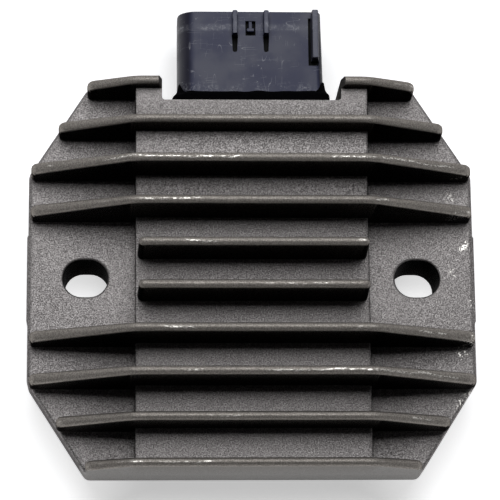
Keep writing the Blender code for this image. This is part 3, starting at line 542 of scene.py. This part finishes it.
def nearest_fin(y):
    index = round((FIN_COUNT - 1) / 2 - (y - SLOTS_Y) / FIN_PITCH)
    return min(max(index, 0), FIN_COUNT - 1)


def wear_at(index, x):
    """How far a fin's crest is rubbed at a place along x."""
    rubbed = FIN_WEAR[index]
    for fin, low, high, level in WORN_STRETCHES:
        if fin == index:
            rubbed += (level - rubbed) * step_between(min(x - low, high - x), 0.0, STRETCH_FADE)
    return rubbed


def dent_at(place, index):
    """How deep a fin's crest is dented at a place."""
    rough = noise.noise(Vector((place.x * 620.0, place.y * 500.0, place.z * 500.0)))
    slow = noise.noise(Vector((place.x * 90.0, index * 3.7, 1.3)))
    return max(rough, 0.0) * step_between(slow, -0.1, 0.4) * NICK_DEPTH


def cut_across(bm):
    """Cuts the mesh at even steps along x, so that the crests can carry small dents."""
    steps = int(PLATE_HALF / CUT_STEP)
    for step in range(-steps, steps + 1):
        everything = bm.verts[:] + bm.edges[:] + bm.faces[:]
        bmesh.ops.bisect_plane(bm, geom=everything, plane_co=(step * CUT_STEP, 0, 0), plane_no=(1, 0, 0),
                               dist=WELD)


def crest_stations(bm):
    """The fin and the step along x of each vertex near a crest, and the crest's height at each of these."""
    stations = {}
    tops = {}
    for vert in bm.verts:
        index = nearest_fin(vert.co.y)
        if abs(vert.co.y - fin_middle(index)) <= CREST_HALF and vert.co.z >= CREST_LOW:
            station = (index, round(vert.co.x / CUT_STEP))
            stations[vert] = station
            tops[station] = max(tops.get(station, 0.0), vert.co.z)
    return stations, tops


def mark_crests(bm):
    """Marks the fins' crests, how far they are rubbed and the chipped right edge, and dents the crests."""
    crest = bm.verts.layers.float.new("crest")
    worn = bm.verts.layers.float.new("worn")
    chipped = bm.verts.layers.float.new("chipped")
    stations, tops = crest_stations(bm)
    bm.normal_update()
    for vert in bm.verts:
        vert[chipped] = step_between(vert.co.x, *CHIPPED_X) * step_between(vert.co.z, *CHIPPED_Z)
    for vert, station in stations.items():
        index = station[0]
        depth = tops[station] - vert.co.z
        vert[crest] = step_between(CREST_BAND - depth, 0.0, CREST_FADE)
        vert[worn] = vert[crest] * wear_at(index, vert.co.x)
        vert.co -= vert.normal * dent_at(vert.co, index) * vert[crest]


def add_housing(finish):
    bm = copied("heat_sink_housing")
    roots = [edge for edge in bm.edges if not edge.is_convex and edge.calc_face_angle() > ROOT_ANGLE
             and min(vert.co.z for vert in edge.verts) > ROOT_LOW]
    bmesh.ops.bevel(bm, geom=roots, offset=ROOT_FILLET, offset_type="OFFSET", segments=2, profile=0.5,
                    affect="EDGES", clamp_overlap=True)
    cut_across(bm)
    mark_crests(bm)
    new_piece("housing_casting", bm, finish, "heat_sink_housing")


# Socket, sealant and potting compound


def add_socket(finish):
    """The socket, with a strip under its top wall that closes the rails' windows: a sheet in the painted
    shade inside, so that the windows read black.
    """
    bm = copied("socket_housing")
    strip = bmesh.ops.create_cube(bm, size=1.0)["verts"]
    bmesh.ops.scale(bm, vec=SHADE_STRIP_SIZE, verts=strip)
    bmesh.ops.translate(bm, vec=SHADE_STRIP_PLACE, verts=strip)
    new_piece("socket_moulding", bm, finish, "socket_housing")


def rounded_ring(low, high, radii, count):
    """Points and outward directions round a rectangle in x and z, with a radius for each corner."""
    corners = ((low.x, low.z, 180), (high.x, low.z, 270), (high.x, high.z, 0), (low.x, high.z, 90))
    ring = []
    for (x, z, start), radius in zip(corners, radii):
        centre_x = x + radius if start in (90, 180) else x - radius
        centre_z = z + radius if start in (180, 270) else z - radius
        for step in range(count + 1):
            angle = math.radians(start + 90 * step / count)
            way = Vector((math.cos(angle), 0, math.sin(angle)))
            ring.append((Vector((centre_x, 0, centre_z)) + way * radius, way))
    return ring


def even_ring(ring, count):
    """The ring's points and directions again, at even distances round it."""
    closed = ring + ring[:1]
    lengths = [0.0]
    for start, end in zip(closed, closed[1:]):
        lengths.append(lengths[-1] + (end[0] - start[0]).length)
    spread = []
    leg = 0
    for step in range(count):
        target = lengths[-1] * step / count
        while lengths[leg + 1] < target:
            leg += 1
        span = lengths[leg + 1] - lengths[leg]
        share = (target - lengths[leg]) / span if span else 0.0
        (a, way_a), (b, way_b) = closed[leg], closed[leg + 1]
        spread.append((a.lerp(b, share), way_a.lerp(way_b, share).normalized()))
    return spread


def bead_section(bm, point, way, root):
    """The vertices of one section of the sealant, from a point of the socket's outline outward."""
    seed = Vector((point.x * 260.0, point.z * 260.0, 4.0))
    corner = step_between(abs(point.x), *CREEP_X) * step_between(point.z, *CREEP_Z)
    length = BEAD_LENGTH + BEAD_RIPPLE * noise.noise(seed)
    flare = BEAD_FLARE * (0.90 + 0.25 * noise.noise(seed * 0.6))
    section = []
    for out, along in BEAD_PROFILE:
        spot = point + way * (BEAD_SKIN + flare * out)
        spot.y = root + length * along + CREEP_LENGTH * corner * along ** CREEP_THINNING
        section.append(bm.verts.new(spot))
    return section


def add_bead(finish):
    """The sealant: a bead laid by hand round the socket, which creeps along its upper corners."""
    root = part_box("socket_sealant")[0].y
    ring = even_ring(rounded_ring(SOCKET_LOW, SOCKET_HIGH, SOCKET_RADII, CORNER_STEPS), BEAD_STEPS)
    bm = bmesh.new()
    sections = [bead_section(bm, point, way, root) for point, way in ring]
    for section, after in zip(sections, sections[1:] + sections[:1]):
        for i in range(len(section)):
            j = (i + 1) % len(section)
            bm.faces.new((section[i], section[j], after[j], after[i]))
    bmesh.ops.recalc_face_normals(bm, faces=bm.faces)
    new_piece("sealant_bead", bm, finish, "socket_sealant", BEAD_SHARP_ANGLE)


def add_potting(finish):
    new_piece("potting_fill", copied("potting_compound"), finish, "potting_compound")


def dress(finish, *nodes):
    """Gives CAD nodes that keep their own mesh a finish."""
    for node in nodes:
        obj = frame["nodes"][node]
        if not obj.material_slots:
            obj.data.materials.append(finish)
        for held in obj.material_slots:
            held.material = finish


# Stage


def clear_scene():
    for old in list(bpy.data.objects):
        bpy.data.objects.remove(old, do_unlink=True)


def add_camera():
    camera = bpy.data.cameras.new("camera")
    camera.sensor_width = SENSOR
    camera.lens = SENSOR * FOCAL_PIXELS / FRAME_PIXELS
    turn = (Matrix.Rotation(CAMERA_PITCH, 3, "X") @ Matrix.Rotation(CAMERA_YAW, 3, "Y")
            @ Matrix.Rotation(CAMERA_ROLL, 3, "Z"))
    held = placed("camera", camera)
    held.matrix_world = Matrix.Translation(CAMERA_AIM + turn.col[2] * CAMERA_DISTANCE) @ turn.to_4x4()
    bpy.context.scene.camera = held


def set_world():
    """White behind the object. Metal mirrors it up to the sweep's top, and little light comes from it."""
    world = bpy.data.worlds.new("studio")
    world.use_nodes = True
    made = Nodes(world.node_tree, "Generated")
    mirrored = made.times(made.ray("Is Glossy Ray"), made.below(made.axis("Z"), SWEEP_TOP))
    shown = made.largest(made.ray("Is Camera Ray"), made.ray("Is Transmission Ray"), mirrored)
    strength = made.plus(made.times(shown, 1.0 - AMBIENT), AMBIENT)
    made.fill(world.node_tree.nodes["Background"], {"Color": WHITE, "Strength": strength})
    bpy.context.scene.world = world


def floor_glow(made):
    """The glow's strength: less in a strip along the object's middle, which is painted shadow under the
    object, and more beside and below the strip, which pales the lamp's shadow there.
    """
    sides = made.between(made.distance(made.axis("X")), *GLOW_HALF, FLOOR_GLOW, FLOOR_GLOW_AROUND)
    below = made.between(made.axis("Y"), *GLOW_END, FLOOR_GLOW, FLOOR_GLOW_AROUND)
    seen = made.largest(made.ray("Is Camera Ray"), made.ray("Is Glossy Ray"), made.ray("Is Transmission Ray"))
    return made.times(seen, made.largest(sides, below))


def floor_finish():
    """Pale and matt, with a glow for the camera, mirrors and clear things alone, and clear from below."""
    material = bpy.data.materials.new("floor")
    material.use_nodes = True
    material.node_tree.nodes.clear()
    made = Nodes(material.node_tree, "Object")
    matt = made.new("BsdfDiffuse")
    glow = made.new("Emission")
    both = made.new("AddShader")
    surface = made.new("MixShader")
    made.fill(matt, {"Color": FLOOR_COLOR})
    made.fill(glow, {"Color": WHITE, "Strength": floor_glow(made)})
    made.fill(both, {0: matt.outputs[0], 1: glow.outputs[0]})
    made.fill(surface, {0: made.new("NewGeometry").outputs["Backfacing"], 1: both.outputs[0],
                        2: made.new("BsdfTransparent").outputs[0]})
    made.fill(made.new("OutputMaterial"), {"Surface": surface.outputs[0]})
    return material


def add_floor():
    """A pale floor that reads white and keeps the object's shadow."""
    bm = bmesh.new()
    bmesh.ops.create_grid(bm, x_segments=1, y_segments=1, size=FLOOR_SIZE / 2)
    floor = meshed("floor", bm, floor_finish())


def add_lamp():
    """A soft box that faces straight down, above and beyond the socket."""
    lamp = bpy.data.lights.new("overhead", "AREA")
    lamp.shape = "RECTANGLE"
    lamp.size, lamp.size_y = LAMP_SIZE
    lamp.energy = LAMP_WATTS
    placed("overhead", lamp).location = LAMP_PLACE


clear_scene()
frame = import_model()
bpy.context.scene.view_settings.view_transform = "Standard"

add_camera()
set_world()
add_floor()
add_lamp()

resin = resin_finish()
package = grain_finish("moulded_package", PACKAGE, roughness=0.5, scale=3000.0)
tinned = metal_finish("tinned_brass", TIN, roughness=0.28, rolling=(300.0, 60.0, 300.0))
copper = metal_finish("copper", COPPER, roughness=0.30, rolling=(300.0, 60.0, 300.0))
ceramic = grain_finish("ceramic", CERAMIC, roughness=0.5, scale=2000.0)
yellow = grain_finish("yellow_resin", YELLOW, roughness=0.4, scale=2500.0)
can = metal_finish("bare_aluminium", CAN, roughness=0.30, rolling=(80.0, 80.0, 900.0))

add_housing(cast_finish())
add_socket(plastic_finish())
add_bead(sealant_finish())
add_potting(resin)
dress(tinned, "terminal_phase_a", "terminal_phase_b", "terminal_phase_c",
      "terminal_battery", "terminal_sense", "terminal_ground")
for letter in "abc":
    dress(package, "diode_" + letter, "thyristor_" + letter)
    dress(copper, "phase_clip_" + letter)
    dress(ceramic, "gate_resistor_" + letter)
dress(package, "control_chip", "zener_diode")
dress(copper, "battery_bus", "ground_bus")
dress(ceramic, "power_board", "sense_resistor_a", "sense_resistor_b")
dress(yellow, "timing_capacitor")
dress(can, "filter_capacitor")
